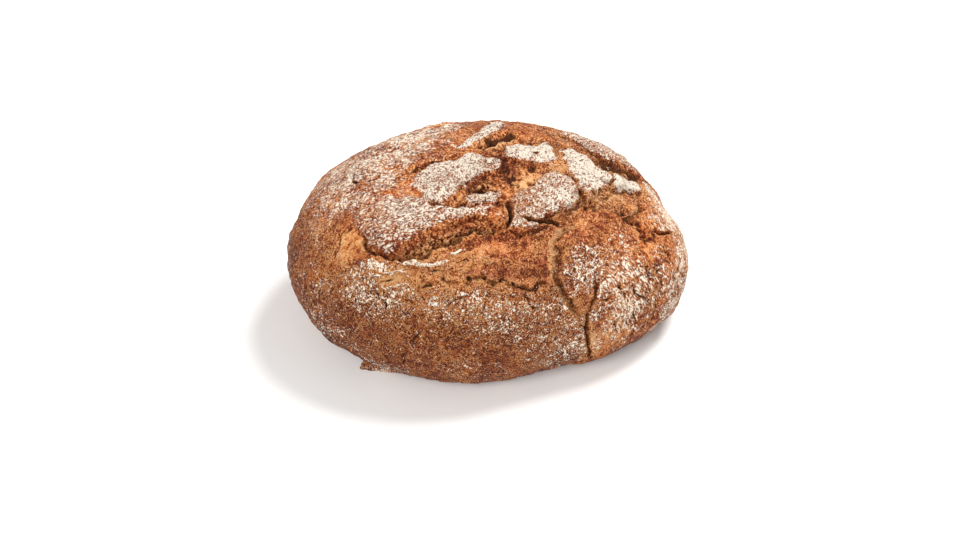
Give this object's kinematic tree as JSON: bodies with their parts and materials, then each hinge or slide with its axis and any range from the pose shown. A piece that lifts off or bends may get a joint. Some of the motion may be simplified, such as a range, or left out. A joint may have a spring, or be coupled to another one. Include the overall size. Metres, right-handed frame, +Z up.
{
  "type": "rye bread loaf",
  "caption": "Whole hearth-baked oval rye loaf with a cracked, torn crust and raised floured plates on its crown.",
  "frame": {"origin": "middle of the flat base, under the middle of the loaf's bounding box", "axes": "+X along the loaf, +Z up out of the base, the loaf's front with its long split faces -Y"},
  "size_m": [0.247, 0.1954, 0.1041],
  "materials": {
    "crust": "matt browned bread crust dusted with flour"
  },
  "bodies": {
    "root": {"loaf": "crust"}
  },
  "joints": []
}
